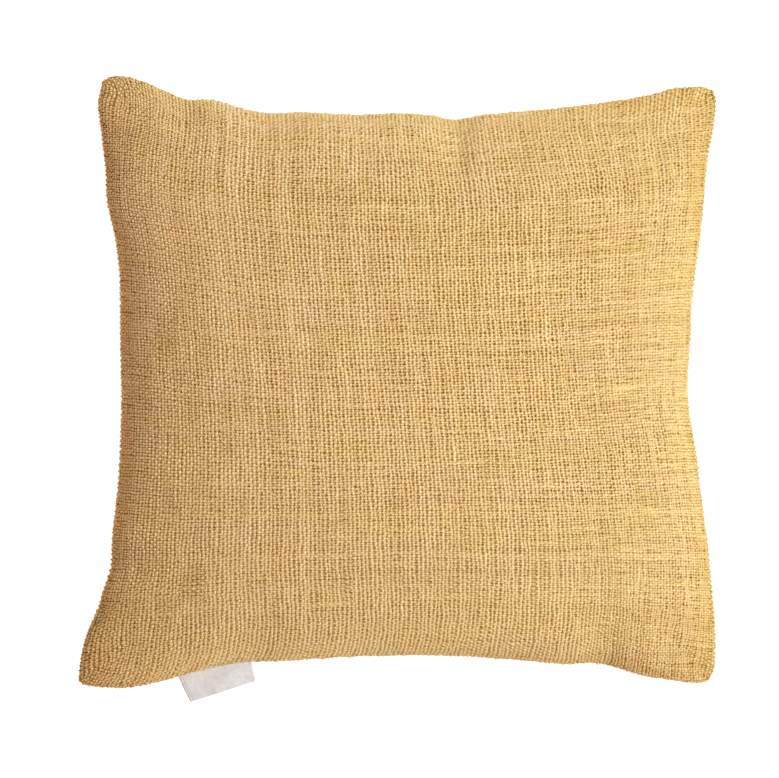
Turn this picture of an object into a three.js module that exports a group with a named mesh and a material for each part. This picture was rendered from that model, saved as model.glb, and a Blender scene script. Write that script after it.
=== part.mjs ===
import * as THREE from 'three';

// A square cushion cover of coarse handwoven cloth, filled, lying on its back, with a folded
// label sewn into its lower seam.
// Millimetres. +Z is up, +Y points to the top edge of the face and +X to its right side.
// The origin is in the middle of the patch of the back that it rests on.

// Corners of the seam in plan, where the lines of the two sides would meet
const CORNERS = {
  bottomLeft: { x: -257, y: -226 },
  bottomRight: { x: 232, y: -226 },
  topLeft: { x: -237, y: 235 },
  topRight: { x: 236, y: 228 },
};

// Rounding of the four tips: the higher the number, the sharper they are
const TIP_SHARPNESS = 30;

// How far each side is drawn in between its tips. A lean below 1 puts the deepest point nearer
// to the side's end, and a fullness below 1 makes the curve flatter along its middle
const SIDES = {
  left: { drawIn: 35.5, lean: 0.76, fullness: 0.87 },
  right: { drawIn: 23.5, lean: 1.34, fullness: 1.01 },
  bottom: { drawIn: 26.5, lean: 1.09, fullness: 0.99 },
  top: { drawIn: 30.6, lean: 0.95, fullness: 0.92 },
};

// Small waves of the seam. at and reach are shares of the side, counted from its left or lower
// end, a positive depth goes inwards, and pinch is the share of the crown that the wave's crease
// takes away beside the seam
const WAVES = [
  { side: 'left', at: 0.08, reach: 0.07, depth: -3.5, pinch: 0 },
  { side: 'left', at: 0.2, reach: 0.05, depth: 3, pinch: 0.1 },
  { side: 'left', at: 0.68, reach: 0.12, depth: 2.3, pinch: 0 },
  { side: 'left', at: 0.79, reach: 0.06, depth: -1.8, pinch: 0 },
  { side: 'left', at: 0.975, reach: 0.03, depth: 2.5, pinch: 0 },
  { side: 'right', at: 0.12, reach: 0.09, depth: -1.3, pinch: 0 },
  { side: 'right', at: 0.23, reach: 0.12, depth: -1.5, pinch: 0 },
  { side: 'right', at: 0.48, reach: 0.12, depth: 3.5, pinch: 0.08 },
  { side: 'right', at: 0.76, reach: 0.16, depth: -3.5, pinch: 0 },
  { side: 'right', at: 0.92, reach: 0.06, depth: -0.8, pinch: 0 },
  { side: 'bottom', at: 0.11, reach: 0.11, depth: -5.7, pinch: 0 },
  { side: 'bottom', at: 0.27, reach: 0.08, depth: 2.5, pinch: 0.08 },
  { side: 'bottom', at: 0.82, reach: 0.07, depth: 4.5, pinch: 0.22 },
  { side: 'top', at: 0.06, reach: 0.07, depth: -5, pinch: 0 },
  { side: 'top', at: 0.15, reach: 0.04, depth: 3.5, pinch: 0.14 },
  { side: 'top', at: 0.27, reach: 0.08, depth: 4.5, pinch: 0.1 },
  { side: 'top', at: 0.49, reach: 0.07, depth: -2.5, pinch: 0 },
  { side: 'top', at: 0.58, reach: 0.04, depth: 3.5, pinch: 0.25 },
  { side: 'top', at: 0.93, reach: 0.07, depth: -2.5, pinch: 0 },
];

// How far the waves and the creases run into a panel, as shares of its width
const WAVE_RUN = 0.3;
const CREASE_RUN = 0.16;

// Heights above the surface, and the crown of the face above the seam
const SEAM_HEIGHT = 58;
const CORNER_DROOP = 10;
const FACE_CROWN = 66;

// The crown's section: an oval is power 2 and fullness 0.5. A higher power makes its middle
// flatter, and a higher fullness makes the two panels meet at a sharper seam
const CROWN_POWER = 2.3;
const CROWN_FULLNESS = 0.6;

// Half the width of the patch that the back rests on, as a share of half the back
const FOOT_SHARE = 0.44;

// Facets along each side, and how far they crowd towards the seam, from 0 to 1
const FACETS = 50;
const CROWDING = 0.45;

// The label is a strip folded in two. Its ends are held by the lower seam, and the width is
// between the shares of that side. The tips are the corners of its fold in plan
const LABEL = {
  from: 0.1755,
  to: 0.288,
  leftTip: { x: -162.7, y: -236 },
  rightTip: { x: -113.2, y: -219.3 },
  thickness: 1.2,
  gap: 0.4,
  droop: 4,
  twist: 1.5,
  bow: 1.4,
};
const LABEL_COLUMNS = 10;
const LABEL_ROWS = 4;

const mix = (a, b, share) => a + (b - a) * share;
const clamp01 = (value) => Math.min(1, Math.max(0, value));

// A soft bump, 1 at its middle and 0 beyond its reach
function bump(share, { at, reach }) {
  const away = Math.abs(share - at) / reach;
  return away < 1 ? Math.cos((away * Math.PI) / 2) ** 2 : 0;
}

// How far a side draws the cloth in. The waves of its seam fade away from it, and its arch goes on
// evenly to the other side
function inset(side, share, inwards) {
  const { drawIn, lean, fullness } = SIDES[side];
  const arch = Math.max(0, Math.sin(Math.PI * clamp01(share) ** lean)) ** fullness;
  const fade = (1 - clamp01(inwards / WAVE_RUN)) ** 2;
  return WAVES.filter((wave) => wave.side === side)
    .reduce((sum, wave) => sum + wave.depth * bump(share, wave) * fade, drawIn * arch * (1 - inwards));
}

// Thread coordinates s and t run from -1 to 1 across a panel, and give its place in plan
function plan(s, t) {
  const outer = Math.max(Math.abs(s), Math.abs(t));
  const tip = outer > 0
    ? outer * (Math.abs(s) ** TIP_SHARPNESS + Math.abs(t) ** TIP_SHARPNESS) ** (-1 / TIP_SHARPNESS)
    : 1;
  const ease = 1 - (1 - tip) * outer ** 6;
  const u = (s * ease + 1) / 2;
  const v = (t * ease + 1) / 2;
  const straight = (axis) => mix(
    mix(CORNERS.bottomLeft[axis], CORNERS.bottomRight[axis], u),
    mix(CORNERS.topLeft[axis], CORNERS.topRight[axis], u),
    v,
  );
  return {
    x: straight('x') + inset('left', v, u) - inset('right', v, 1 - u),
    y: straight('y') + inset('bottom', u, v) - inset('top', u, 1 - v),
  };
}

// The share of the crown that the creases leave at this place
function unpinched(s, t) {
  const u = (s + 1) / 2;
  const v = (t + 1) / 2;
  const inwards = { left: u, right: 1 - u, bottom: v, top: 1 - v };
  const along = { left: v, right: v, bottom: u, top: u };
  return WAVES.reduce((left, wave) => {
    const fade = 1 - clamp01(inwards[wave.side] / CREASE_RUN);
    return left - wave.pinch * bump(along[wave.side], wave) * fade;
  }, 1);
}

const crown = (s, t) => (
  (1 - Math.abs(s) ** CROWN_POWER) * (1 - Math.abs(t) ** CROWN_POWER)
) ** CROWN_FULLNESS;

// Beyond the resting patch the back rises to the seam as the face falls to it
const pastFoot = (value) => Math.max(0, (Math.abs(value) - FOOT_SHARE) / (1 - FOOT_SHARE));

const seamHeight = (s, t) => SEAM_HEIGHT - CORNER_DROOP * (s * t) ** 2;

function facePoint(s, t) {
  const { x, y } = plan(s, t);
  return [x, y, seamHeight(s, t) + FACE_CROWN * crown(s, t) * unpinched(s, t)];
}

function backPoint(s, t) {
  const { x, y } = plan(s, t);
  return [x, y, seamHeight(s, t) * (1 - crown(pastFoot(s), pastFoot(t)))];
}

// Thread coordinate of a grid line, with the lines closer together towards the seam
function gridLine(index) {
  const even = (2 * index) / FACETS - 1;
  return mix(even, Math.sin((even * Math.PI) / 2), CROWDING);
}

// Both panels share the vertices of the seam, so the cover is one closed body
function coverGeometry() {
  const points = [];
  const places = new Map();
  const vertex = (layer, i, j) => {
    const onSeam = i === 0 || j === 0 || i === FACETS || j === FACETS;
    const key = `${onSeam ? 'seam' : layer} ${i} ${j}`;
    if (!places.has(key)) {
      const at = layer === 'face' || onSeam ? facePoint : backPoint;
      places.set(key, points.length / 3);
      points.push(...at(gridLine(i), gridLine(j)));
    }
    return places.get(key);
  };
  const triangles = [];
  for (let i = 0; i < FACETS; i += 1) {
    for (let j = 0; j < FACETS; j += 1) {
      const slants = (i < FACETS / 2) === (j < FACETS / 2);
      for (const layer of ['face', 'back']) {
        const [a, b, c, d] = [[i, j], [i + 1, j], [i + 1, j + 1], [i, j + 1]]
          .map(([column, row]) => vertex(layer, column, row));
        const quad = slants ? [a, b, d, b, c, d] : [a, b, c, a, c, d];
        triangles.push(...(layer === 'face' ? quad : quad.reverse()));
      }
    }
  }
  return closedGeometry(points, triangles);
}

// A slab that starts just outside the seam and hangs a little below the seam's height
function labelGeometry() {
  const points = [];
  const triangles = [];
  const index = (layer, i, j) => (layer * (LABEL_ROWS + 1) + j) * (LABEL_COLUMNS + 1) + i;
  for (const side of [1, -1]) {
    for (let j = 0; j <= LABEL_ROWS; j += 1) {
      for (let i = 0; i <= LABEL_COLUMNS; i += 1) {
        const across = i / LABEL_COLUMNS;
        const out = j / LABEL_ROWS;
        const s = 2 * mix(LABEL.from, LABEL.to, across) - 1;
        const root = plan(s, -1);
        const z = seamHeight(s, -1) - LABEL.droop * out ** 2
          + LABEL.twist * out * (2 * across - 1) + LABEL.bow * Math.sin(Math.PI * across) * out;
        points.push(
          mix(root.x, mix(LABEL.leftTip.x, LABEL.rightTip.x, across), out),
          mix(root.y - LABEL.gap, mix(LABEL.leftTip.y, LABEL.rightTip.y, across), out),
          z + (side * LABEL.thickness) / 2,
        );
      }
    }
  }
  const quad = (a, b, c, d) => triangles.push(a, b, c, a, c, d);
  for (let i = 0; i < LABEL_COLUMNS; i += 1) {
    for (let j = 0; j < LABEL_ROWS; j += 1) {
      quad(index(0, i, j), index(0, i, j + 1), index(0, i + 1, j + 1), index(0, i + 1, j));
      quad(index(1, i, j), index(1, i + 1, j), index(1, i + 1, j + 1), index(1, i, j + 1));
    }
    const end = LABEL_ROWS;
    quad(index(0, i, 0), index(0, i + 1, 0), index(1, i + 1, 0), index(1, i, 0));
    quad(index(0, i + 1, end), index(0, i, end), index(1, i, end), index(1, i + 1, end));
  }
  for (let j = 0; j < LABEL_ROWS; j += 1) {
    const end = LABEL_COLUMNS;
    quad(index(0, 0, j + 1), index(0, 0, j), index(1, 0, j), index(1, 0, j + 1));
    quad(index(0, end, j), index(0, end, j + 1), index(1, end, j + 1), index(1, end, j));
  }
  return closedGeometry(points, triangles);
}

function closedGeometry(points, triangles) {
  const geometry = new THREE.BufferGeometry();
  geometry.setAttribute('position', new THREE.Float32BufferAttribute(points, 3));
  geometry.setIndex(triangles);
  geometry.computeVertexNormals();
  return geometry;
}

function piece(name, geometry, finish) {
  const mesh = new THREE.Mesh(geometry, new THREE.MeshStandardMaterial(finish));
  mesh.name = name;
  return mesh;
}

const cushionCover = new THREE.Group();
cushionCover.add(
  piece('cushion_cover', coverGeometry(), { color: 0xd5ae73, roughness: 0.95, metalness: 0 }),
  piece('side_label', labelGeometry(), { color: 0xdfd9d5, roughness: 0.7, metalness: 0 }),
);

export default cushionCover;
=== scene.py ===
import math

import bpy
import numpy as np
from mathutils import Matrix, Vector


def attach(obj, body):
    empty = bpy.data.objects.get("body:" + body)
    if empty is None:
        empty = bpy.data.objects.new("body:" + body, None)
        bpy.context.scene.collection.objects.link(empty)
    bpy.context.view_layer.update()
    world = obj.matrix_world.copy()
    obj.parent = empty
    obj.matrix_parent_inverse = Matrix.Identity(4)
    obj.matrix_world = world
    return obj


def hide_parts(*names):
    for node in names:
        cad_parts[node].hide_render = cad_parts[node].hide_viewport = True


# A square cushion cover of coarse handwoven cloth, filled and lying on its back, with a folded
# label in its lower seam. Metres, +Z up, +Y towards the top edge of the face.
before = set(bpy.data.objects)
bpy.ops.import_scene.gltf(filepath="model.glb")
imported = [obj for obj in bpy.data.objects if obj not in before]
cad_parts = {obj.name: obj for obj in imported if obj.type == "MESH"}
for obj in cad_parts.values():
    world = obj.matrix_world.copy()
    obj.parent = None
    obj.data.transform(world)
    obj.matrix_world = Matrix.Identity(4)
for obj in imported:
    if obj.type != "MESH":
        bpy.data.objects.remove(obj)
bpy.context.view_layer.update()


# The studio: a camera straight above the face, a plain pale floor and four soft square lamps.
# Most of the light comes from the right, and the little that comes from the left is reddish.
SEAM_HEIGHT = 0.058
CAMERA_ABOVE_SEAM = 1.37
CAMERA_MIDDLE = (-0.0133, -0.0017)
LENS = 85
SENSOR = 36
LAMP_SIDE = 0.8
LAMPS = {
    "light_from_right": {"place": (1.39, 0.51, 1.76), "power": 43, "colour": (0.79, 0.92, 0.99)},
    "light_from_above": {"place": (0, 1.63, 1.63), "power": 8, "colour": (0.92, 0.98, 1.0)},
    "light_from_below": {"place": (1.15, -1.15, 1.63), "power": 16, "colour": (1.0, 0.97, 0.86)},
    "light_from_left": {"place": (-1.63, 0, 1.63), "power": 5.6, "colour": (1.0, 0.16, 0.06)},
}
SKY_COLOUR = (1.0, 0.36, 0.24, 1)
SKY_STRENGTH = 0.06


def placed(name, data):
    """A new object in the scene."""
    thing = bpy.data.objects.new(name, data)
    bpy.context.scene.collection.objects.link(thing)
    return thing


lens = bpy.data.cameras.new("camera")
lens.lens, lens.sensor_width = LENS, SENSOR
camera = placed("camera", lens)
camera.location = (*CAMERA_MIDDLE, SEAM_HEIGHT + CAMERA_ABOVE_SEAM)
bpy.context.scene.camera = camera

for name, lamp in LAMPS.items():
    bulb = bpy.data.lights.new(name, "AREA")
    bulb.size, bulb.energy, bulb.color = LAMP_SIDE, lamp["power"], lamp["colour"]
    light = placed(name, bulb)
    light.location = lamp["place"]
    light.rotation_euler = (-Vector(lamp["place"])).to_track_quat("-Z", "Y").to_euler()

sky = bpy.data.worlds.new("studio")
sky.use_nodes = True
sky.node_tree.nodes["Background"].inputs["Color"].default_value = SKY_COLOUR
sky.node_tree.nodes["Background"].inputs["Strength"].default_value = SKY_STRENGTH
bpy.context.scene.world = sky
bpy.context.scene.view_settings.view_transform = "Standard"
bpy.context.scene.view_settings.look = "None"


class Wire:
    """An output of a node. Arithmetic on it adds Math nodes to its tree."""

    def __init__(self, tree, socket):
        self.tree, self.socket = tree, socket

    def output(self, name):
        """Another output of the same node."""
        found = [s for s in self.socket.node.outputs if s.name == name and s.enabled]
        return Wire(self.tree, found[0])

    def maths(self, operation, *values):
        return self.tree.add("ShaderNodeMath", {"operation": operation}, dict(enumerate(values)))

    def at_least(self, other):
        return self.maths("MAXIMUM", self, other)

    def at_most(self, other):
        return self.maths("MINIMUM", self, other)

    def __add__(self, other):
        return self.maths("ADD", self, other)

    def __radd__(self, other):
        return self.maths("ADD", other, self)

    def __sub__(self, other):
        return self.maths("SUBTRACT", self, other)

    def __rsub__(self, other):
        return self.maths("SUBTRACT", other, self)

    def __mul__(self, other):
        return self.maths("MULTIPLY", self, other)

    def __rmul__(self, other):
        return self.maths("MULTIPLY", other, self)

    def __truediv__(self, other):
        return self.maths("DIVIDE", self, other)

    def __rtruediv__(self, other):
        return self.maths("DIVIDE", other, self)

    def __mod__(self, other):
        return self.maths("FLOORED_MODULO", self, other)

    def __abs__(self):
        return self.maths("ABSOLUTE", self)

    def floor(self):
        return self.maths("FLOOR", self)

    def sine(self):
        return self.maths("SINE", self)

    def clamped(self):
        return self.tree.add("ShaderNodeClamp", {}, {"Value": self})


class Tree:
    """A node tree of a material or of Geometry Nodes."""

    def __init__(self, nodes):
        self.nodes = nodes

    def fill(self, node, sockets):
        """Gives the sockets of a node, by name or number, their values or wires."""
        for key, value in sockets.items():
            if isinstance(key, int):
                socket = node.inputs[key]
            else:
                socket = [s for s in node.inputs if s.name == key and s.enabled][0]
            if isinstance(value, Wire):
                self.nodes.links.new(value.socket, socket)
            elif isinstance(value, tuple) and socket.type == "RGBA":
                socket.default_value = (*value, 1)
            else:
                socket.default_value = value

    def add(self, kind, settings, sockets):
        """A node with its settings, and then its sockets. Gives its first output."""
        node = self.nodes.nodes.new(kind)
        for name, value in settings.items():
            if name == "stops":
                ramp = node.color_ramp.elements
                while len(ramp) < len(value):
                    ramp.new(0.5)
                for stop, (place, colour) in zip(ramp, value):
                    stop.position, stop.color = place, (*colour, 1)
            elif name == "points":
                curve = node.mapping.curves[0].points
                while len(curve) < len(value):
                    curve.new(0.5, 0.5)
                for point, place in zip(curve, value):
                    point.location, point.handle_type = place, "VECTOR"
                node.mapping.update()
            else:
                setattr(node, name, value)
        self.fill(node, sockets)
        outputs = [s for s in node.outputs if s.enabled]
        return Wire(self, outputs[0]) if outputs else node

    def object_place(self):
        """The place on the object, in its own coordinates."""
        return self.add("ShaderNodeTexCoord", {}, {}).output("Object")

    def noise(self, vector, scale=1.0, detail=0.0):
        """Soft noise about zero, most of it within a quarter either way."""
        sockets = {"Vector": vector, "Scale": scale, "Detail": detail}
        return self.add("ShaderNodeTexNoise", {"noise_dimensions": "3D"}, sockets) - 0.5

    def vector(self, x, y, z):
        return self.add("ShaderNodeCombineXYZ", {}, {"X": x, "Y": y, "Z": z})


def new_material(name):
    """A material with a Principled shader, as its tree and the shader's node."""
    material = bpy.data.materials.new(name)
    material.use_nodes = True
    nodes = material.node_tree
    return material, Tree(nodes), nodes.nodes["Principled BSDF"]


# The floor is flat out to a wide circle, and then sweeps up as a studio backdrop does
FLOOR_REACH = 4.5
SWEEP_RADIUS = 2.5
SWEEP_STEPS = 12
FLOOR_SIDES = 64
FLOOR_GREY = 0.42
FLOOR_GLOW = 0.95

around = [2 * math.pi * k / FLOOR_SIDES for k in range(FLOOR_SIDES)]
lean = [math.pi / 2 * k / SWEEP_STEPS for k in range(SWEEP_STEPS + 1)]
profile = [(FLOOR_REACH + SWEEP_RADIUS * math.sin(a), SWEEP_RADIUS * (1 - math.cos(a))) for a in lean]
floor_points = [(r * math.cos(a), r * math.sin(a), z) for r, z in profile for a in around]
floor_faces = [tuple(range(FLOOR_SIDES))]
for k in range(SWEEP_STEPS):
    for n in range(FLOOR_SIDES):
        near, far, turn = k * FLOOR_SIDES, (k + 1) * FLOOR_SIDES, (n + 1) % FLOOR_SIDES
        floor_faces.append((near + n, far + n, far + turn, near + turn))
floor_mesh = bpy.data.meshes.new("floor")
floor_mesh.from_pydata(floor_points, [], floor_faces)
floor_mesh.shade_smooth()
floor = placed("floor", floor_mesh)
pale, tree, shader = new_material("pale floor")
tree.fill(shader, {"Base Color": (FLOOR_GREY,) * 3, "Roughness": 0.9, "Specular IOR Level": 0.1,
                   "Emission Color": (1, 1, 1), "Emission Strength": FLOOR_GLOW})
floor_mesh.materials.append(pale)


# The filled cover: two panels of cloth sewn face to face and turned, rounded out by the filling.
# The sides are drawn in between the tips. The filling is let loose in a short cloth simulation.
CORNERS = {
    "bottom left": (-0.257, -0.226),
    "bottom right": (0.232, -0.226),
    "top left": (-0.237, 0.235),
    "top right": (0.236, 0.228),
}
TIP_SHARPNESS = 30
TIP_EASE = 6
SIDES = {
    "left": {"draw_in": 0.0355, "lean": 0.76, "fullness": 0.87},
    "right": {"draw_in": 0.0235, "lean": 1.34, "fullness": 1.01},
    "bottom": {"draw_in": 0.0265, "lean": 1.09, "fullness": 0.99},
    "top": {"draw_in": 0.0306, "lean": 0.95, "fullness": 0.92},
}
# Waves of the seam on each side: the place along it and the reach as shares of the side, the depth
# inwards, and the share of the crown that the crease beside the wave takes away
WAVES = {
    "left": [(0.08, 0.07, -0.0035, 0), (0.2, 0.05, 0.003, 0.1), (0.68, 0.12, 0.0023, 0),
             (0.79, 0.06, -0.0018, 0), (0.975, 0.03, 0.0025, 0)],
    "right": [(0.12, 0.09, -0.0013, 0), (0.23, 0.12, -0.0015, 0), (0.48, 0.12, 0.0035, 0.08),
              (0.76, 0.16, -0.0035, 0), (0.92, 0.06, -0.0008, 0)],
    "bottom": [(0.11, 0.11, -0.0057, 0), (0.27, 0.08, 0.0025, 0.08), (0.82, 0.07, 0.0045, 0.22)],
    "top": [(0.06, 0.07, -0.005, 0), (0.15, 0.04, 0.0035, 0.14), (0.27, 0.08, 0.0045, 0.1),
            (0.49, 0.07, -0.0025, 0), (0.58, 0.04, 0.0035, 0.25), (0.93, 0.07, -0.0025, 0)],
}
WAVE_RUN = 0.3
CREASE_RUN = 0.16
CORNER_DROOP = 0.010
FACE_CROWN = 0.066
CROWN_POWER = 2.3
CROWN_FULLNESS = 0.6
FOOT_SHARE = 0.44
FACETS = 72
CROWDING = 0.45


def mix(a, b, share):
    return a + (b - a) * share


def bump(share, at, reach):
    """A soft bump, 1 at its middle and 0 beyond its reach."""
    away = np.minimum(np.abs(share - at) / reach, 1)
    return np.cos(away * np.pi / 2) ** 2


def inset(side, share, inwards):
    """How far a side draws the cloth in. The waves of its seam fade sooner than its arch does."""
    shape = SIDES[side]
    arch = np.sin(np.pi * np.clip(share, 0, 1) ** shape["lean"])
    curve = shape["draw_in"] * np.maximum(arch, 0) ** shape["fullness"] * (1 - inwards)
    waves = sum(depth * bump(share, at, reach) for at, reach, depth, _ in WAVES[side])
    return curve + waves * (1 - np.clip(inwards / WAVE_RUN, 0, 1)) ** 2


def plan(s, t):
    """Where thread coordinates, from -1 to 1 across a panel, lie when seen from above."""
    outer = np.maximum(np.abs(s), np.abs(t))
    spread = (np.abs(s) ** TIP_SHARPNESS + np.abs(t) ** TIP_SHARPNESS) ** (1 / TIP_SHARPNESS)
    tip = np.divide(outer, spread, out=np.ones_like(outer), where=spread > 0)
    ease = 1 - (1 - tip) * outer ** TIP_EASE
    u, v = (s * ease + 1) / 2, (t * ease + 1) / 2
    low = [mix(CORNERS["bottom left"][axis], CORNERS["bottom right"][axis], u) for axis in (0, 1)]
    high = [mix(CORNERS["top left"][axis], CORNERS["top right"][axis], u) for axis in (0, 1)]
    x = mix(low[0], high[0], v) + inset("left", v, u) - inset("right", v, 1 - u)
    y = mix(low[1], high[1], v) + inset("bottom", u, v) - inset("top", u, 1 - v)
    return x, y


def unpinched(s, t):
    """The share of the crown that the creases leave at this place."""
    u, v = (s + 1) / 2, (t + 1) / 2
    inwards = {"left": u, "right": 1 - u, "bottom": v, "top": 1 - v}
    along = {"left": v, "right": v, "bottom": u, "top": u}
    share = np.ones_like(s)
    for side, waves in WAVES.items():
        for at, reach, _, pinch in waves:
            share -= pinch * bump(along[side], at, reach) * (1 - np.clip(inwards[side] / CREASE_RUN, 0, 1))
    return share


def crown(s, t):
    return ((1 - np.abs(s) ** CROWN_POWER) * (1 - np.abs(t) ** CROWN_POWER)) ** CROWN_FULLNESS


def past_foot(value):
    return np.maximum((np.abs(value) - FOOT_SHARE) / (1 - FOOT_SHARE), 0)


def seam_height(s, t):
    return SEAM_HEIGHT - CORNER_DROOP * (s * t) ** 2


even = np.linspace(-1, 1, FACETS + 1)
thread_lines = mix(even, np.sin(even * np.pi / 2), CROWDING)
thread_s, thread_t = np.meshgrid(thread_lines, thread_lines)
panel_x, panel_y = plan(thread_s, thread_t)
seam_z = seam_height(thread_s, thread_t)
face_z = seam_z + FACE_CROWN * crown(thread_s, thread_t) * unpinched(thread_s, thread_t)
back_z = seam_z * (1 - crown(past_foot(thread_s), past_foot(thread_t)))

# Both panels share the vertices of the seam. The back's own vertices follow those of the face
rows = FACETS + 1
face_index = np.arange(rows * rows).reshape(rows, rows)
back_index = face_index.copy()
back_index[1:-1, 1:-1] = rows * rows + np.arange((rows - 2) ** 2).reshape(rows - 2, rows - 2)
inner = (slice(1, -1), slice(1, -1))
shape = np.concatenate([
    np.stack([panel_x, panel_y, face_z], -1).reshape(-1, 3),
    np.stack([panel_x[inner], panel_y[inner], back_z[inner]], -1).reshape(-1, 3),
])
share_u, share_v = (thread_s + 1) / 2, (thread_t + 1) / 2

BEFORE, AFTER = slice(None, -1), slice(1, None)
FACING_UP = [(BEFORE, BEFORE), (BEFORE, AFTER), (AFTER, AFTER), (AFTER, BEFORE)]


def grid_faces(index, corners, u, v):
    """The quads of a grid, and the flat coordinates u and v of their corners."""
    quads = np.stack([index[c] for c in corners], -1).reshape(-1, 4)
    flat = np.stack([np.stack([u[c], v[c]], -1) for c in corners], -2).reshape(-1, 2)
    return quads, flat


def new_mesh(name, points, quads):
    mesh = bpy.data.meshes.new(name)
    mesh.from_pydata(points.tolist(), [], quads.tolist())
    mesh.shade_smooth()
    return mesh


def add_map(mesh, name, places):
    mesh.uv_layers.new(name=name).data.foreach_set("uv", places.astype(np.float32).ravel())


# The back's cloth coordinates lie beside those of the face, so that each place has its own
BACK_SHIFT = 2.0
BAKE_SHARE = 0.49
face_quads, face_cloth = grid_faces(face_index, FACING_UP, share_u, share_v)
back_quads, back_cloth = grid_faces(back_index, FACING_UP[::-1], share_u, share_v)
cover_mesh = new_mesh("cover_body", shape, np.concatenate([face_quads, back_quads]))
cloth_uv = np.concatenate([face_cloth, back_cloth + (BACK_SHIFT, 0)])
add_map(cover_mesh, "cloth", cloth_uv)
bake_uv = cloth_uv * (BAKE_SHARE, 1)
bake_uv[:, 0] += np.where(cloth_uv[:, 0] > 1, 1 - (BACK_SHIFT + 1) * BAKE_SHARE, 0)
add_map(cover_mesh, "OFBake", bake_uv)
cover = placed("cover_body", cover_mesh)


def read_all(items, label, width, kind):
    """The values of all items of a mesh, one row each."""
    values = np.zeros(len(items) * width, kind)
    items.foreach_get(label, values)
    return values.reshape(-1, width)


def read_points(mesh):
    return read_all(mesh.vertices, "co", 3, np.float32).astype(float)


def read_normals(mesh):
    return read_all(mesh.vertex_normals, "vector", 3, np.float32).astype(float)


def write_points(mesh, points):
    mesh.vertices.foreach_set("co", points.astype(np.float32).ravel())
    mesh.update()


def applied(thing):
    """The object's mesh with its modifiers carried out, as a mesh of its own."""
    evaluated = thing.evaluated_get(bpy.context.evaluated_depsgraph_get())
    return bpy.data.meshes.new_from_object(evaluated)


# The guide runs through the middle of the cloth's thickness, and comes up to its outside at the seam
CLOTH_HALF = 0.001
SEAM_NARROWNESS = 60
near_seam = np.zeros(len(cover_mesh.vertices))
for index in (face_index, back_index):
    near_seam[index] = np.maximum(np.abs(thread_s), np.abs(thread_t)) ** SEAM_NARROWNESS
sunk = mix(CLOTH_HALF, 0, near_seam)[:, None]
write_points(cover_mesh, read_points(cover_mesh) - sunk * read_normals(cover_mesh))
started = read_points(cover_mesh)
seam_points = np.unique(np.concatenate([face_index[0], face_index[-1], face_index[:, 0], face_index[:, -1]]))
on_foot = (np.abs(thread_s) <= FOOT_SHARE) & (np.abs(thread_t) <= FOOT_SHARE)
foot_points = back_index[on_foot]

# The cloth and the pressure of the filling in the simulation. The seam and the foot are held
SIM_FRAMES = 20
SIM_CLOTH = {
    "quality": 6, "mass": 0.15, "air_damping": 2,
    "tension_stiffness": 18, "compression_stiffness": 18, "shear_stiffness": 6, "bending_stiffness": 0.3,
    "tension_damping": 8, "compression_damping": 8,
    "use_pressure": True, "uniform_pressure_force": 4.0, "vertex_group_mass": "held",
}
MOVE_CAP = 0.022
FOOT_CLEARANCE = 0.002

# The flat cut that the cloth remembers: as long each way as the face measures over its crown
middle = FACETS // 2
over_crown = [shape[face_index[middle]], shape[face_index[:, middle]]]
steps = [np.linalg.norm(np.diff(line, axis=0), axis=1) for line in over_crown]
flat_lines = [np.concatenate([[0], np.cumsum(step)]) - step.sum() / 2 for step in steps]
flat_x, flat_y = np.meshgrid(*flat_lines)
flat = np.zeros_like(started)
for index in (face_index, back_index):
    flat[index] = np.stack([flat_x, flat_y, np.full_like(flat_x, SEAM_HEIGHT)], -1)
cover.shape_key_add(name="filled")
cut = cover.shape_key_add(name="flat cut")
cut.data.foreach_set("co", flat.astype(np.float32).ravel())
held = cover.vertex_groups.new(name="held")
held.add([int(i) for i in np.concatenate([seam_points, foot_points])], 1.0, "REPLACE")
filling = cover.modifiers.new("filling", "CLOTH")
for name, value in SIM_CLOTH.items():
    setattr(filling.settings, name, value)
filling.settings.effector_weights.gravity = 0
filling.settings.rest_shape_key = cut
filling.collision_settings.use_collision = False
filling.point_cache.frame_start, filling.point_cache.frame_end = 1, SIM_FRAMES
for number in range(1, SIM_FRAMES + 1):
    bpy.context.scene.frame_set(number)
filled = read_points(applied(cover))
bpy.context.scene.frame_set(1)
cover.modifiers.clear()
cover.shape_key_clear()
moved = filled - started
length = np.linalg.norm(moved, axis=1, keepdims=True)
moved *= np.minimum(1, MOVE_CAP / np.maximum(length, 1e-9))
settled = started + moved
settled[:, 2] = np.maximum(settled[:, 2], FOOT_CLEARANCE)
write_points(cover_mesh, settled)

crease = cover_mesh.attributes.new("crease_edge", "FLOAT", "EDGE")
edge_ends = read_all(cover_mesh.edges, "vertices", 2, np.int32)
crease.data.foreach_set("value", np.isin(edge_ends, seam_points).all(axis=1).astype(np.float32))
finer = cover.modifiers.new("finer", "SUBSURF")
finer.levels = finer.render_levels = 1
finer.uv_smooth = "NONE"
guide = placed("cloth_guide", applied(cover))
cover.modifiers.clear()

# Under the yarns lies the inside of the cloth, painted dark brown as the shade that shows in the small
# gaps between them. The finer mesh's first vertices are those of the coarse one
GROUND_DEPTH = 0.0006
GROUND_DEPTH_AT_SEAM = 0.0016
GROUND_SHADE_COLOURS = [(0.35, (0.50, 0.245, 0.02)), (0.65, (0.62, 0.33, 0.03))]
depth = mix(GROUND_DEPTH, GROUND_DEPTH_AT_SEAM, near_seam)[:, None]
smooth_points, outwards = read_points(guide.data), read_normals(guide.data)
write_points(cover_mesh, smooth_points[:len(near_seam)] - depth * outwards[:len(near_seam)])


def flecked(name, stops, scale, detail, roughness, gloss):
    """A finish whose colour varies between its stops, in soft flecks."""
    material, tree, shader = new_material(name)
    fleck = tree.noise(tree.object_place(), scale, detail) + 0.5
    colour = tree.add("ShaderNodeValToRGB", {"stops": stops}, {"Fac": fleck})
    tree.fill(shader, {"Base Color": colour, "Roughness": roughness, "Specular IOR Level": gloss})
    return material


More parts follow.
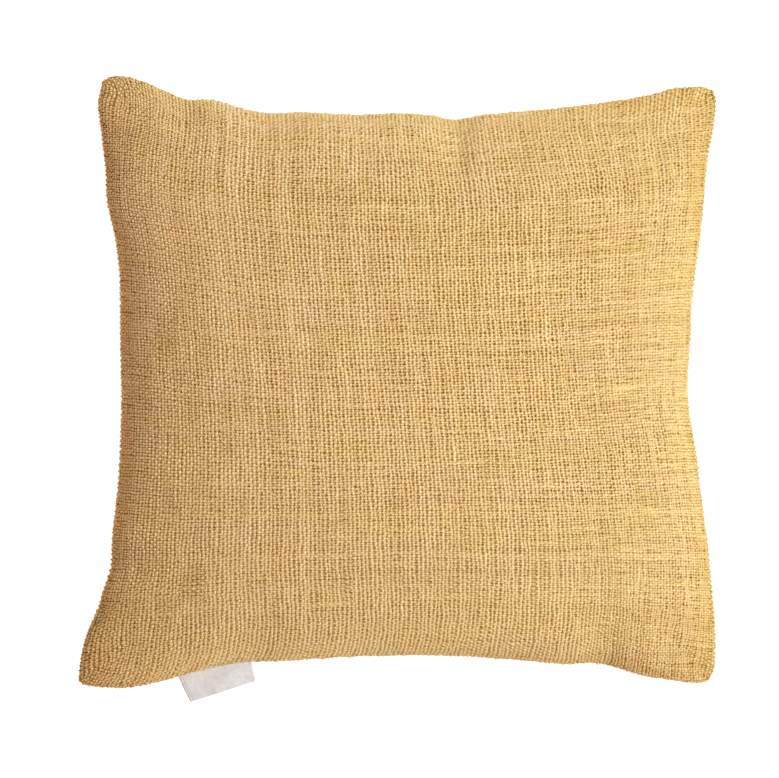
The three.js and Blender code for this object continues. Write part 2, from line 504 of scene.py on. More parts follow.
cover_mesh.materials.append(flecked("shaded inside of the cloth", GROUND_SHADE_COLOURS, 260, 2, 1.0, 0.05))
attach(cover, "root")
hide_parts("cushion_cover")


# The cloth of the two panels: a plain weave of uneven handspun yarns, thick and thin. Warp yarns
# run from the lower to the upper seam and weft yarns across, each over one and under the next.
YARNS = {
    "warp": {"Width": 0.00246, "Thickness": 0.0008, "Crimp": 0.00056, "Pitch": 0.003},
    "weft": {"Width": 0.00182, "Thickness": 0.0012, "Crimp": 0.00066, "Pitch": 0.00188},
}
DIVE = 0.002
# The face is the denser panel. Its yarns are made in halves, so that no mesh grows too large
PANELS = {
    "face": {"cloth": 0.0, "seed": 11, "warp": 166, "weft": 232,
             "halves": {"warp": ("left", "right"), "weft": ("lower", "upper")}},
    "back": {"cloth": BACK_SHIFT, "seed": 47, "warp": 150, "weft": 220,
             "halves": {"warp": ("",), "weft": ("",)}},
}
# How far apart the yarns stand, in mm. at_edge is the pitch along the steep outermost cloth. A point of
# seen is a share of the panel, from the left or lower seam, and the pitch there as seen from above
YARNS_APART = {
    "warp": {"span": 424.5, "at_edge": 2.8,
             "seen": [(0, 2.5), (0.11, 2.65), (0.155, 2.85), (0.2, 3.08), (0.28, 2.98), (0.7, 2.93),
                      (0.756, 2.7), (0.787, 2.5), (0.875, 2.38), (1, 2.2)]},
    "weft": {"span": 400.5, "at_edge": 1.8,
             "seen": [(0, 1.55), (0.1, 1.63), (0.18, 1.64), (0.27, 1.75), (0.36, 1.83), (0.54, 1.87),
                      (0.9, 1.87), (1, 1.76)]},
}
OUTERMOST = 0.03
SPACING_STEPS = 4000
SPACING_SHARES = (0, 0.01, 0.03, 0.06, 0.1, 0.17, 0.31, 0.5, 0.72, 0.83, 0.9, 0.94, 0.97, 0.99, 1)
# At each seam the yarns that run into it are spread more evenly, over a reach that is a share of the
# panel. A point of spread is a share of the yarns, and the place where that yarn meets the seam
GATHERS = {
    "bottom": {"reach": 0.22, "spread": [(0, 0), (0.12, 0.114), (0.394, 0.415), (0.781, 0.81), (1, 1)]},
    "top": {"reach": 0.2, "spread": [(0, 0), (0.095, 0.093), (0.39, 0.404), (0.802, 0.812), (1, 1)]},
    "left": {"reach": 0.4, "spread": [(0, 0), (0.191, 0.165), (0.815, 0.835), (1, 1)]},
    "right": {"reach": 0.35, "spread": [(0, 0), (0.187, 0.17), (0.815, 0.83), (1, 1)]},
}
GATHER_PLACES = (0, 0.015, 0.04, 0.08, 0.14, 0.22, 0.4, 0.6, 0.8, 0.87, 0.93, 0.965, 0.985, 1)
WARP_SLANT = 0.05
SLANT_MIDDLE = 0.45

# Slow drifts over the panel: the steps in the noise from warp to warp and from weft to weft, its layer,
# and the size. That is in pitches, and in metres where it lifts the warps above the wefts
SIDEWAYS = [(0.31, 0.035, 0.3, 0.6), (0.77, 0.17, 7.4, 0.7)]
LENGTHWAYS = [(0.03, 0.08, 3.6, 2.0), (0.05, 0.37, 9.8, 0.6), (0.27, 0.71, 5.2, 0.8)]
WARPS_HIGHER = [(0.09, 0.06, 2.2, 0.0005), (0.83, 0.07, 4.4, 0.0008)]
# Changes along a yarn: the steps in the noise from yarn to yarn and from crossing to crossing, its layer
# and its detail
ALONG_YARN = {
    "spun": (3.17, 0.16, 21.5, 1), "slow": (0.43, 0.021, 33.5, 1), "slub": (7.7, 0.09, 51.5, 0),
    "outermost": (1.9, 0.31, 61.5, 0), "dyed": (0.21, 0.017, 71.5, 1),
}
# Chance at each crossing: the seed, and the size in pitches, as a share of the width, or in tone
CHANCE = {"sideways": (3, 0.22), "lengthways": (5, 0.3), "width": (6, 0.06), "tone": (8, 0.18)}
CROSSINGS_A_ROW = 1000

# A share times one less the share is 0 at both seams. Times its rise, it soon reaches 1 inside them
RISES = {"drift": 40, "slant": 6, "outermost": 55, "tips": 3.5, "rim": 45, "outer": 30}
OUTERMOST_UNEVEN, OUTERMOST_SINKS = 0.0028, 0.0006
SLUB_FROM, SLUB_RISE = 0.2, 8
# What each cause adds to the width of a yarn, as a share, and to its tone, from 0 dark to 1 pale
WIDTH_BY = {"own": 0.26, "spun": 0.32, "over": 0.05, "slub": 0.3}
TONE_BY = {"own": 0.14, "spun": 0.3, "slow": 0.2, "slub": 0.25}
MIDDLE_TONE = 0.53
WEFT_DARKER = 0.06
# Painted shade: the yarns are painted darker along the left flank, away from the lamps, in the tips (less so
# at the top) and at the rim where the cloth turns down
LEFT_FLANK = {"rise": 5, "thinner": 0.12, "darker": 0.19}
TIPS_SHADE, TIPS_SHADE_LESS_AT_TOP = 0.14, 0.09
RIM_SHADE = 0.1
WARP_DYE, WARP_DYE_RANGE = 0.5, 1.1
WEFT_DYE, WEFT_DYE_RANGE, WEFT_DYE_IN_SLUBS = 0.52, 1.9, 0.5
# Painted light and shade: a yarn is painted paler where it rides over and darker where it dives under, most
# at the left, and least at the upper right
CONTRAST, CONTRAST_LESS_RIGHT, CONTRAST_LESS_AT_TOP = 1.9, 0.9, 0.5
NEIGHBOURS = 3
LEAST_ROOM, MOST_ROOM = 0.72, 1.5
CLOSER_AT_SEAM = 0.12
SECTION_SIDES = 3

YARN_COLOURS = [(0.0, (0.485, 0.278, 0.0435)), (0.35, (0.662, 0.419, 0.116)),
                (0.6, (0.8, 0.556, 0.231)), (1.0, (0.915, 0.707, 0.395))]
ROSY, OLIVE = (1.02, 0.975, 1.09), (0.985, 1.0, 0.86)
# Patches of uneven dye: the place in the noise, its scale, the noise that they start at, and the tint
PATCHES = [
    ((0.3, 0.1, 0), 42, 0.54, (1.0, 0.89, 0.58)),
    ((4.1, 2.2, 0), 36, 0.58, (0.98, 0.90, 0.88)),
    ((7.7, 5.3, 0), 48, 0.60, (0.86, 0.90, 0.78)),
    ((2.6, 8.8, 0), 55, 0.62, (1.05, 0.84, 0.62)),
]
PATCH_RISE, PATCH_STRENGTH = 6, 0.24
# The fibres are streaks of noise, fine across the yarn and long along it, turned as they are twisted
FIBRE_FINE, FIBRE_LONG, FIBRE_TWIST = 1400, 260, 0.42
FIBRE_CONTRAST, CRIMP_SHADE = 0.5, 0.43


def spacing(direction):
    """Curve points that turn a share of the yarns into the place of that yarn across the panel."""
    yarns = YARNS_APART[direction]
    place = np.linspace(0, 1, SPACING_STEPS + 1)
    step = yarns["span"] / SPACING_STEPS
    rise = 1000 * FACE_CROWN * np.gradient(crown(2 * place - 1, np.zeros_like(place)))
    pitch = np.interp(place, *zip(*yarns["seen"]))
    steep = np.minimum(place, 1 - place) < OUTERMOST
    count = np.where(steep, np.hypot(step, rise) / yarns["at_edge"], step / pitch)
    counted = np.concatenate([[0], np.cumsum(count)[:-1]])
    return [(share, float(np.interp(share, counted / counted[-1], place))) for share in SPACING_SHARES]


def gather(side):
    """Curve points that turn a place along a seam into the shift of the yarn there, plus a half."""
    shares, places = zip(*spacing("warp" if side in ("bottom", "top") else "weft"))
    points = []
    for place in GATHER_PLACES:
        meets = np.interp(np.interp(place, places, shares), *zip(*GATHERS[side]["spread"]))
        points.append((place, 0.5 + float(meets) - place))
    return points


def tinted(tree, colour, share, tint):
    return tree.add("ShaderNodeMix", {"data_type": "RGBA", "blend_type": "MULTIPLY"},
                    {"Factor": share, "A": colour, "B": tint})


def handspun(lengthwise):
    """The finish of the yarns: straw to undyed, in streaks that follow the spinning."""
    material, tree, shader = new_material("warp yarn" if lengthwise else "weft yarn")
    place = tree.object_place()
    tone, dye, lift = [tree.add("ShaderNodeAttribute", {"attribute_name": label}, {}).output("Fac")
                       for label in ("tone", "dye", "lift")]
    stretch = (FIBRE_FINE, FIBRE_LONG, FIBRE_FINE) if lengthwise else (FIBRE_LONG, FIBRE_FINE, FIBRE_FINE)
    turn = (0, 0, FIBRE_TWIST if lengthwise else -FIBRE_TWIST)
    laid = tree.add("ShaderNodeMapping", {}, {"Vector": place, "Rotation": turn, "Scale": stretch})
    fibres = tree.noise(laid, 1, 2)
    # lift adds the painted light and shade of the crossings to the tone
    light = (tone + fibres * FIBRE_CONTRAST + lift * CRIMP_SHADE).clamped()
    colour = tree.add("ShaderNodeValToRGB", {"stops": YARN_COLOURS}, {"Fac": light})
    rosy_to_olive = tree.add("ShaderNodeMix", {"data_type": "RGBA"},
                             {"Factor": dye.clamped(), "A": ROSY, "B": OLIVE})
    colour = tinted(tree, colour, 1.0, rosy_to_olive)
    for offset, scale, start, tint in PATCHES:
        shifted = tree.add("ShaderNodeMapping", {}, {"Vector": place, "Location": offset})
        patch = ((tree.noise(shifted, scale, 1) + 0.5 - start) * PATCH_RISE).clamped()
        colour = tinted(tree, colour, patch * PATCH_STRENGTH, tint)
    raised = tree.add("ShaderNodeBump", {}, {"Strength": 0.35, "Distance": 0.0002, "Height": fibres})
    tree.fill(shader, {"Base Color": colour, "Normal": raised, "Roughness": 0.9,
                       "Specular IOR Level": 0.08, "Sheen Weight": 0.09, "Sheen Tint": (1.0, 0.88, 0.75)})
    return material


def new_group(name, inputs):
    """A tree of geometry nodes with named inputs, and the way to take a wire from each of them."""
    nodes = bpy.data.node_groups.new(name, "GeometryNodeTree")
    for label, kind in inputs.items():
        nodes.interface.new_socket(name=label, in_out="INPUT", socket_type="NodeSocket" + kind)
    nodes.interface.new_socket(name="Geometry", in_out="OUTPUT", socket_type="NodeSocketGeometry")
    tree = Tree(nodes)
    return tree, tree.add("NodeGroupInput", {}, {}).output


def end_group(tree, mesh, finish):
    """Realizes the instances, puts the finish on and ends the tree."""
    mesh = tree.add("GeometryNodeRealizeInstances", {}, {"Geometry": mesh})
    mesh = tree.add("GeometryNodeSetMaterial", {}, {"Geometry": mesh, "Material": finish})
    tree.add("NodeGroupOutput", {}, {"Geometry": mesh})
    return tree.nodes


def vector_maths(tree, operation, first, second):
    """Maths on two vectors, or on a vector and the number that scales it."""
    key = "Scale" if operation == "SCALE" else 1
    return tree.add("ShaderNodeVectorMath", {"operation": operation}, {0: first, key: second})


def own_value(tree, what):
    """The Position, Normal, Index or Tangent of each point."""
    return tree.add("GeometryNodeInput" + what, {}, {})


def stored(tree, geometry, label, value, kind="FLOAT"):
    return tree.add("GeometryNodeStoreNamedAttribute", {"data_type": kind, "domain": "POINT"},
                    {"Geometry": geometry, "Name": label, "Value": value})


def kept(tree, label, kind="FLOAT"):
    return tree.add("GeometryNodeInputNamedAttribute", {"data_type": kind}, {"Name": label})


def resampled(tree, curve, count):
    return tree.add("GeometryNodeResampleCurve", {"mode": "COUNT"}, {"Curve": curve, "Count": count})


def section_of(tree, radius):
    return tree.add("GeometryNodeCurvePrimitiveCircle", {"mode": "RADIUS"},
                    {"Resolution": SECTION_SIDES, "Radius": radius})


def mesh_of(tree, thing):
    settings = {"transform_space": "ORIGINAL"}
    return tree.add("GeometryNodeObjectInfo", settings, {"Object": thing}).output("Geometry")


def on_cloth(tree, guide_mesh, what, sample_at):
    """The Position or Normal of the guide at a place in cloth coordinates."""
    return tree.add("GeometryNodeSampleUVSurface", {"data_type": "FLOAT_VECTOR"},
                    {"Mesh": guide_mesh, "Value": own_value(tree, what),
                     "UV Map": kept(tree, "cloth", "FLOAT_VECTOR"), "Sample UV": sample_at})


def room_between(tree, given, number, place, points):
    """How far apart the neighbours of a yarn stand at a place, as a share of the usual pitch."""
    here = own_value(tree, "Position")
    below = (number - NEIGHBOURS).at_least(0)
    above = (number + NEIGHBOURS).at_most(given("Amount") - 1)

    def beside(other):
        return tree.add("GeometryNodeFieldAtIndex", {"data_type": "FLOAT_VECTOR", "domain": "POINT"},
                        {"Value": here, "Index": other * points + place + 1.5})

    apart = vector_maths(tree, "DISTANCE", beside(below), beside(above))
    share = apart / ((above - below) * given("Pitch"))
    return tree.add("ShaderNodeClamp", {}, {"Value": share, "Min": LEAST_ROOM, "Max": MOST_ROOM})


def pressed_yarns(tree, given, curves, width, room, up):
    """The mesh of the yarns, pressed flat beneath, with their round backs upwards."""
    here = own_value(tree, "Position")
    for label, value, kind in (("middle", here, "FLOAT_VECTOR"), ("up", up, "FLOAT_VECTOR"),
                               ("room", room, "FLOAT")):
        curves = stored(tree, curves, label, value, kind)
    size = tree.vector(given("Thickness") / 1.5, given("Width") / 3 ** 0.5, 1)
    section = tree.add("GeometryNodeTransform", {}, {"Geometry": section_of(tree, 1.0), "Scale": size})
    mesh = tree.add("GeometryNodeCurveToMesh", {},
                    {"Curve": curves, "Profile Curve": section, "Scale": width * room, "Fill Caps": True})

    # A yarn that has more or less room is wider or narrower, but no thicker or thinner
    upwards = kept(tree, "up", "FLOAT_VECTOR")
    off_middle = vector_maths(tree, "SUBTRACT", here, kept(tree, "middle", "FLOAT_VECTOR"))
    raised = vector_maths(tree, "DOT_PRODUCT", off_middle, upwards)
    back = vector_maths(tree, "SCALE", upwards, raised * (1 / kept(tree, "room") - 1))
    mesh = tree.add("GeometryNodeSetPosition", {}, {"Geometry": mesh, "Offset": back})
    for label in ("middle", "up", "room"):
        mesh = tree.add("GeometryNodeRemoveAttribute", {}, {"Geometry": mesh, "Name": label})
    return mesh


def weave_tree(name, lengthwise):
    """Geometry nodes that lay the yarns of one direction over a panel of the guide."""
    tree, given = new_group(name, {
        "Guide": "Object", "Panel": "Float", "Warp yarns": "Int", "Weft yarns": "Int",
        "Width": "Float", "Thickness": "Float", "Crimp": "Float", "Pitch": "Float", "Dive": "Float",
        "First": "Int", "Amount": "Int", "Seed": "Int", "Finish": "Material"})
    warps, wefts, seed = given("Warp yarns"), given("Weft yarns"), given("Seed")

    # A yarn has a point at each crossing, and one more at each end
    crossings = wefts if lengthwise else warps
    points = crossings + 2
    line = resampled(tree, tree.add("GeometryNodeCurvePrimitiveLine", {}, {}), points)
    curves = tree.add("GeometryNodeDuplicateElements", {"domain": "SPLINE"},
                      {"Geometry": line, "Amount": given("Amount")})
    index = own_value(tree, "Index")
    number = (index / points).floor()
    place = index - number * points - 1
    yarn = number + given("First")
    warp, weft = (yarn, place) if lengthwise else (place, yarn)

    def on_curve(table, value):
        return tree.add("ShaderNodeFloatCurve", {"points": table}, {"Value": value})

    def drift(table):
        return sum(tree.noise(tree.vector(warp * per_warp, weft * per_weft, seed + layer)) * size
                   for per_warp, per_weft, layer, size in table)

    def chance(what):
        layer, size = CHANCE[what]
        crossing = {"ID": warp + weft * CROSSINGS_A_ROW, "Seed": layer}
        return (tree.add("FunctionNodeRandomValue", {"data_type": "FLOAT"}, crossing) - 0.5) * size

    def along_yarn(what):
        per_yarn, per_crossing, layer, detail = ALONG_YARN[what]
        return tree.noise(tree.vector(yarn * per_yarn, place * per_crossing, seed + layer), 1, detail)

    def gathered(side, place_on_seam, away):
        shift = on_curve(gather(side), place_on_seam) - 0.5
        near = (1 - away / GATHERS[side]["reach"]).clamped()
        return shift * near * near * (3 - near * 2)

    # Where each warp crosses each weft, the same for both directions
    across = on_curve(spacing("warp"), ((warp + 0.5) / warps).clamped())
    along = on_curve(spacing("weft"), ((weft + 0.5) / wefts).clamped())
    inside_u, inside_v = across * (1 - across), along * (1 - along)
    sideways = (drift(SIDEWAYS) + chance("sideways")) * (inside_u * RISES["drift"]).clamped()
    lengthways = (drift(LENGTHWAYS) + chance("lengthways")) * (inside_v * RISES["drift"]).clamped()
    slant = (SLANT_MIDDLE - along) * (inside_u * RISES["slant"]).clamped() * WARP_SLANT
    u = (across + sideways / warps + slant
         + gathered("bottom", across, along) + gathered("top", across, 1 - along)).clamped()
    v = (along + lengthways / wefts
         + gathered("left", along, across) + gathered("right", along, 1 - across)).clamped()
    sample_at = tree.vector(u + given("Panel"), v, 0)
    guide_mesh = mesh_of(tree, given("Guide"))
    point = on_cloth(tree, guide_mesh, "Position", sample_at)
    normal = on_cloth(tree, guide_mesh, "Normal", sample_at)

    # Over one and under the next. At the seam the yarns go down between the panels
    over = 1 - ((warp + weft) % 2) * 2
    over = over if lengthwise else over * -1
    higher = drift(WARPS_HIGHER)
    lift = over * given("Crimp") + (higher if lengthwise else higher * -1)
    outermost = 1 - ((inside_u if lengthwise else inside_v) * RISES["outermost"]).clamped()
    lift = lift + outermost * (along_yarn("outermost") * OUTERMOST_UNEVEN - OUTERMOST_SINKS)
    at_end = tree.add("FunctionNodeCompare", {"data_type": "FLOAT", "operation": "LESS_THAN"},
                      {0: place * (crossings - 1 - place) + 0.5, 1: 0.0})
    height = tree.add("GeometryNodeSwitch", {"input_type": "FLOAT"},
                      {"Switch": at_end, "False": lift, "True": given("Dive") * -1})
    laid = vector_maths(tree, "ADD", point, vector_maths(tree, "SCALE", normal, height))

    # Thick and thin, pale and dark: each yarn has its own, and changes along its length
    own = tree.add("FunctionNodeRandomValue", {"data_type": "FLOAT"}, {"ID": yarn, "Seed": seed}) - 0.5
    spun, slow, dyed = along_yarn("spun"), along_yarn("slow"), along_yarn("dyed")
    slub = ((along_yarn("slub") - SLUB_FROM) * SLUB_RISE).clamped()
    at_left = 1 - (across * LEFT_FLANK["rise"]).clamped()
    width = (1.0 - at_left * LEFT_FLANK["thinner"] + own * WIDTH_BY["own"] + spun * WIDTH_BY["spun"]
             + over * WIDTH_BY["over"] + slub * WIDTH_BY["slub"] + chance("width"))
    tone = (MIDDLE_TONE + own * TONE_BY["own"] + spun * TONE_BY["spun"] + slow * TONE_BY["slow"]
            + slub * TONE_BY["slub"] + chance("tone"))
    tone = tone if lengthwise else tone - WEFT_DARKER
    in_tips = 1 - ((inside_u + inside_v) * RISES["tips"]).clamped()
    at_rim = 1 - (inside_u.at_most(inside_v) * RISES["rim"]).clamped()
    # Painted shade: darker in the tips, less so towards the top, along the left flank and at the rim
    tone = (tone - in_tips * (TIPS_SHADE - along * TIPS_SHADE_LESS_AT_TOP)
            - at_left * LEFT_FLANK["darker"] - at_rim * RIM_SHADE)
    warp_dye = WARP_DYE + dyed * WARP_DYE_RANGE
    weft_dye = WEFT_DYE + dyed * WEFT_DYE_RANGE + slub * WEFT_DYE_IN_SLUBS
    # Painted light and shade: the lift makes over crossings paler and under crossings darker, most at the
    # left
    crimp_shade = CONTRAST - across * (CONTRAST_LESS_RIGHT + along * CONTRAST_LESS_AT_TOP)
    curves = stored(tree, curves, "tone", tone)
    curves = stored(tree, curves, "lift", over * crimp_shade)
    curves = stored(tree, curves, "dye", warp_dye if lengthwise else weft_dye)

    # A yarn fills the space that its neighbours leave it, wide where they stand apart
    curves = tree.add("GeometryNodeSetCurveNormal", {"mode": "FREE"}, {"Curve": curves, "Normal": normal})
    curves = tree.add("GeometryNodeSetPosition", {}, {"Geometry": curves, "Position": laid})
    outer = 1 - (inside_u * along * (1 - along) * RISES["outer"]).clamped()
    room = room_between(tree, given, number, place, points) * (1 + outer * CLOSER_AT_SEAM)
    return end_group(tree, pressed_yarns(tree, given, curves, width, room, normal), given("Finish"))


def made_by_nodes(name, nodes, values):
    """A plain mesh object made by a tree of geometry nodes with these inputs."""
    thing = placed(name, bpy.data.meshes.new(name))
    modifier = thing.modifiers.new(name, "NODES")
    modifier.node_group = nodes
    for item in nodes.interface.items_tree:
        if item.in_out == "INPUT":
            modifier[item.identifier] = values[item.name]
    mesh = applied(thing)
    mesh.name = name
    thing.modifiers.clear()
    thing.data = mesh
    return thing


# Laid out flat, each yarn is one band from end to end: its left flank, its right flank, its underside
BANDS = np.array([0.475, 0.9, 0.05])
UNDERSIDE_END = 1.0
BAND_FROM, BAND_SHARE = 0.05, 0.9


def lay_out(mesh, yarns, rings):
    """A second UV map that gives each place on each yarn a place of its own."""
    ends = read_all(mesh.loops, "vertex_index", 1, np.int32)[:, 0]
    first = read_all(mesh.polygons, "loop_start", 1, np.int32)[:, 0]
    size = read_all(mesh.polygons, "loop_total", 1, np.int32)[:, 0]
    side = ends % SECTION_SIDES
    peaks = np.add.reduceat(side == 0, first)
    beneath = np.repeat(peaks == 0, size)
    band = np.where(beneath & (side == 2), UNDERSIDE_END, BANDS[side])
    u = (ends % (SECTION_SIDES * rings) // SECTION_SIDES + 0.5) / rings
    v = (ends // (SECTION_SIDES * rings) + BAND_FROM + band * BAND_SHARE) / yarns
    add_map(mesh, "OFBake", np.stack([u, v], -1))


for direction, sizes in YARNS.items():
    finish = handspun(direction == "warp")
    nodes = weave_tree(direction, direction == "warp")
    for panel_name, panel in PANELS.items():
        halves = panel["halves"][direction]
        amount = panel[direction] // len(halves)
        for number, half in enumerate(halves):
            name = "_".join(word for word in (panel_name, direction, half) if word)
            piece = made_by_nodes(name, nodes, {
                "Guide": guide, "Panel": panel["cloth"], "Warp yarns": panel["warp"],
                "Weft yarns": panel["weft"], "First": number * amount, "Amount": amount,
                "Dive": DIVE, "Seed": panel["seed"], "Finish": finish, **sizes})
            lay_out(piece.data, amount, panel["weft" if direction == "warp" else "warp"] + 2)
            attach(piece, "root")


# The seam: lockstitch in straw-coloured thread, sewn with the cover inside out. Once it is turned
# and filled, only short bars of the thread show, down in the valley between the panels.
STITCH_LENGTH = 0.003
STITCH = {"Thread": 0.00026, "Reach": 0.0009, "Sunk": 0.0001}
ROUND_THE_FACE = 0.998
SEAM_THREAD = (0.80, 0.60, 0.30)
THREAD_SHADE = 0.72


def stitch_tree():
    """Geometry nodes that set bars of thread across the seam, all the way round."""
    tree, given = new_group("seam stitches", {
        "Guide": "Object", "Stitches": "Int", "Thread": "Float", "Reach": "Float", "Sunk": "Float",
        "Finish": "Material"})
    seam = tree.add("GeometryNodeCurvePrimitiveQuadrilateral", {"mode": "RECTANGLE"},
                    {"Width": ROUND_THE_FACE, "Height": ROUND_THE_FACE})
    seam = tree.add("GeometryNodeTransform", {}, {"Geometry": seam, "Translation": (0.5, 0.5, 0)})
    seam = resampled(tree, seam, given("Stitches"))
    guide_mesh = mesh_of(tree, given("Guide"))
    here = own_value(tree, "Position")
    outwards = on_cloth(tree, guide_mesh, "Normal", here)
    point = on_cloth(tree, guide_mesh, "Position", here)
    laid = vector_maths(tree, "ADD", point, vector_maths(tree, "SCALE", outwards, given("Sunk") * -1))
    seam = stored(tree, seam, "outwards", outwards, "FLOAT_VECTOR")
    seam = tree.add("GeometryNodeSetPosition", {}, {"Geometry": seam, "Position": laid})
    turned = tree.add("FunctionNodeAxesToRotation", {"primary_axis": "X", "secondary_axis": "Y"},
                      {"Primary Axis": own_value(tree, "Tangent"),
                       "Secondary Axis": kept(tree, "outwards", "FLOAT_VECTOR")})
    bar = tree.add("GeometryNodeMeshUVSphere", {}, {"Segments": 5, "Rings": 3, "Radius": 1.0})
    size = tree.vector(given("Thread"), given("Thread"), given("Reach"))
    bar = tree.add("GeometryNodeTransform", {}, {"Geometry": bar, "Scale": size})
    bars = tree.add("GeometryNodeInstanceOnPoints", {}, {"Points": seam, "Instance": bar, "Rotation": turned})
    return end_group(tree, bars, given("Finish"))


def spun_thread(name, colour, roughness):
    """A plain straw-coloured thread whose tone varies a little from place to place."""
    darker = tuple(THREAD_SHADE * channel for channel in colour)
    return flecked(name, [(0.3, darker), (0.7, colour)], 900, 1, roughness, 0.15)


seam_ends = read_points(cover_mesh)[:, :2]
seam_length = 2 * float(np.ptp(seam_ends[:, 0]) + np.ptp(seam_ends[:, 1]))
stitches = made_by_nodes("seam_stitches", stitch_tree(), {
    "Guide": guide, "Stitches": round(seam_length / STITCH_LENGTH),
    "Finish": spun_thread("seam thread", SEAM_THREAD, 0.7), **STITCH})
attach(stitches, "root")


# Loose fibres: handspun yarn sheds ends, which lie on the cloth and curl away from it here and
# there. They are fine, stiff and a little paler than the yarns.
FIBRES = {"Density": 1450.0, "Shortest": 0.004, "Longest": 0.013, "Curl": 0.006, "Radius": 0.00007,
          "Clearance": 0.012, "Seed": 5}
FIBRE_POINTS = 7
FIBRE_RISE = 0.12
CURL_SCALE = 110.0
CURL_MIDDLE = (0.5, 0.5, 0.42)
LOOSE_FIBRE = (0.88, 0.70, 0.40)


def fibre_tree():
    """Geometry nodes that scatter short curling fibres over the cover, clear of the floor."""
    tree, given = new_group("loose fibres", {
        "Guide": "Object", "Density": "Float", "Shortest": "Float", "Longest": "Float", "Curl": "Float",
        "Radius": "Float", "Clearance": "Float", "Seed": "Int", "Finish": "Material"})
    here = own_value(tree, "Position")
    height = tree.add("ShaderNodeSeparateXYZ", {}, {"Vector": here}).output("Z")
    clear = tree.add("FunctionNodeCompare", {"data_type": "FLOAT", "operation": "GREATER_THAN"},
                     {0: height, 1: given("Clearance")})
    spread = tree.add("GeometryNodeDistributePointsOnFaces", {"distribute_method": "RANDOM"},
                      {"Mesh": mesh_of(tree, given("Guide")), "Selection": clear,
                       "Density": given("Density"), "Seed": given("Seed")})
    heading = tree.add("FunctionNodeRandomValue", {"data_type": "FLOAT_VECTOR"},
                       {"Min": (-1, -1, -1), "Max": (1, 1, 1), "Seed": given("Seed")})
    turned = tree.add("FunctionNodeAxesToRotation", {"primary_axis": "Z", "secondary_axis": "X"},
                      {"Primary Axis": spread.output("Normal"), "Secondary Axis": heading})
    length = tree.add("FunctionNodeRandomValue", {"data_type": "FLOAT"},
                      {"Min": given("Shortest"), "Max": given("Longest"), "Seed": given("Seed") + 1})
    strand = tree.add("GeometryNodeCurvePrimitiveLine", {}, {"Start": (0, 0, 0), "End": (1, 0, FIBRE_RISE)})
    strands = tree.add("GeometryNodeInstanceOnPoints", {},
                       {"Points": spread, "Instance": resampled(tree, strand, FIBRE_POINTS),
                        "Rotation": turned, "Scale": tree.vector(length, length, length)})
    strands = tree.add("GeometryNodeRealizeInstances", {}, {"Geometry": strands})
    wander = tree.add("ShaderNodeTexNoise", {}, {"Vector": here, "Scale": CURL_SCALE, "Detail": 0.0})
    wander = vector_maths(tree, "SUBTRACT", wander.output("Color"), CURL_MIDDLE)
    wander = vector_maths(tree, "SCALE", wander, given("Curl"))
    strands = tree.add("GeometryNodeSetPosition", {}, {"Geometry": strands, "Offset": wander})
    section = section_of(tree, given("Radius"))
    mesh = tree.add("GeometryNodeCurveToMesh", {},
                    {"Curve": strands, "Profile Curve": section, "Fill Caps": True})
    return end_group(tree, mesh, given("Finish"))


fibres = made_by_nodes("loose_fibres", fibre_tree(), {
    "Guide": guide, "Finish": spun_thread("loose fibre", LOOSE_FIBRE, 0.8), **FIBRES})
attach(fibres, "root")
bpy.data.objects.remove(guide)


# The label: a strip of smooth woven tape, folded in two, its ends caught in the lower seam so that
# two plies hang out. It is sewn in a little crooked, and its face is plain.
LABEL_FROM, LABEL_TO = 0.1755, 0.288
LABEL_TIPS = ((-0.1627, -0.236), (-0.1132, -0.2193))
LABEL_DROOP = 0.004
LABEL_TWIST = 0.0015
LABEL_BOW = 0.0014
RIPPLE, FINE_RIPPLE = 0.0003, 0.00022
TAPE_THICKNESS = 0.0003
PLY_HALF_GAP = 0.00042
CAUGHT_SHARE = 0.2
FOLD_SHARE = 0.018
STEPS_ACROSS, STEPS_OUT, STEPS_IN_FOLD = 49, 21, 7

tape_across = np.linspace(0, 1, STEPS_ACROSS)
ply_out = np.linspace(-CAUGHT_SHARE, 1, STEPS_OUT)
fold_turn = np.linspace(np.pi / 2, -np.pi / 2, STEPS_IN_FOLD + 2)[1:-1]
tape_out = np.concatenate([ply_out, 1 + FOLD_SHARE * np.cos(fold_turn), ply_out[::-1]])
tape_lift = np.concatenate([np.ones(STEPS_OUT), np.sin(fold_turn), -np.ones(STEPS_OUT)])
tape_u, tape_k = np.meshgrid(tape_across, np.arange(len(tape_out)))
out, lift = tape_out[tape_k], tape_lift[tape_k]
free = np.clip(out, 0, 1)
label_s = 2 * mix(LABEL_FROM, LABEL_TO, tape_u) - 1
root_x, root_y = plan(label_s, -np.ones_like(label_s))
(left_x, left_y), (right_x, right_y) = LABEL_TIPS
label_x = mix(root_x, mix(left_x, right_x, tape_u), out)
label_y = mix(root_y, mix(left_y, right_y, tape_u), out)
ripple = RIPPLE * np.sin(9 * tape_u + 4 * out) + FINE_RIPPLE * np.sin(23 * tape_u - 3 * out + 1) * free
label_z = (seam_height(label_s, -np.ones_like(label_s)) - LABEL_DROOP * out ** 2
           + LABEL_TWIST * out * (2 * tape_u - 1) + LABEL_BOW * np.sin(np.pi * tape_u) * out
           + ripple + lift * PLY_HALF_GAP * mix(0.5, 1, free))
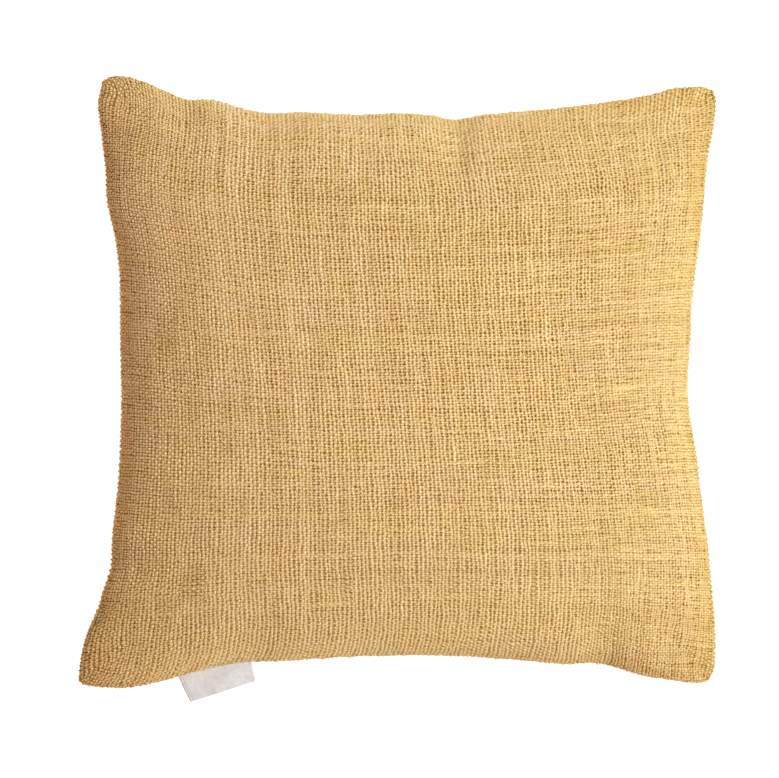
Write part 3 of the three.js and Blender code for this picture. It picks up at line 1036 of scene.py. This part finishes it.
label_index = np.arange(label_x.size).reshape(label_x.shape)
wound = [(BEFORE, BEFORE), (AFTER, BEFORE), (AFTER, AFTER), (BEFORE, AFTER)]
quads, tape_places = grid_faces(label_index, wound, tape_u, tape_k / (len(tape_out) - 1))
label_mesh = new_mesh("folded_label", np.stack([label_x, label_y, label_z], -1).reshape(-1, 3), quads)
add_map(label_mesh, "tape", tape_places)
label = placed("folded_label", label_mesh)
wall = label.modifiers.new("thickness", "SOLIDIFY")
wall.thickness, wall.offset = TAPE_THICKNESS, 0
label.data = applied(label)
label.modifiers.clear()

# Lines on the tape, each with its place and its half width as shares of the tape: the edges and the
# selvedges beside them run along it, and the crease across it, near the fold, which is painted darker as
# shade
SELVEDGES = [(0.045, 0.02), (0.958, 0.016), (0.0, 0.012), (1.0, 0.012)]
CREASE = (0.43, 0.012)
MOTTLE_SCALE = 320
RIB_TURNS = 950
TAPE_COLOURS = [(0.0, (0.86, 0.845, 0.83)), (0.6, (0.66, 0.645, 0.635))]

tape, tree, shader = new_material("off-white label tape")
on_tape = tree.add("ShaderNodeUVMap", {"uv_map": "tape"}, {})
tape_at = tree.add("ShaderNodeSeparateXYZ", {}, {"Vector": on_tape})
side, run = tape_at.output("X"), tape_at.output("Y")


def line(value, at, half):
    """1 on a line where the value is as given, and 0 beyond its half width."""
    return (1 - abs(value - at) / half).clamped()


selvedge = sum(line(side, at, half) for at, half in SELVEDGES)
mottle = tree.noise(tree.object_place(), MOTTLE_SCALE, 2)
# The crease line darkens the tape as painted shade
shade = (selvedge * 0.3 + line(run, *CREASE) * 0.35 + mottle * 0.9 + 0.2).clamped()
colour = tree.add("ShaderNodeValToRGB", {"stops": TAPE_COLOURS}, {"Fac": shade})
weave = (run * RIB_TURNS).sine() * 0.5 + mottle - selvedge
raised = tree.add("ShaderNodeBump", {}, {"Strength": 0.3, "Distance": 0.0001, "Height": weave})
tree.fill(shader, {"Base Color": colour, "Normal": raised, "Roughness": 0.6, "Specular IOR Level": 0.3})
label.data.materials.append(tape)
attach(label, "root")
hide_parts("side_label")
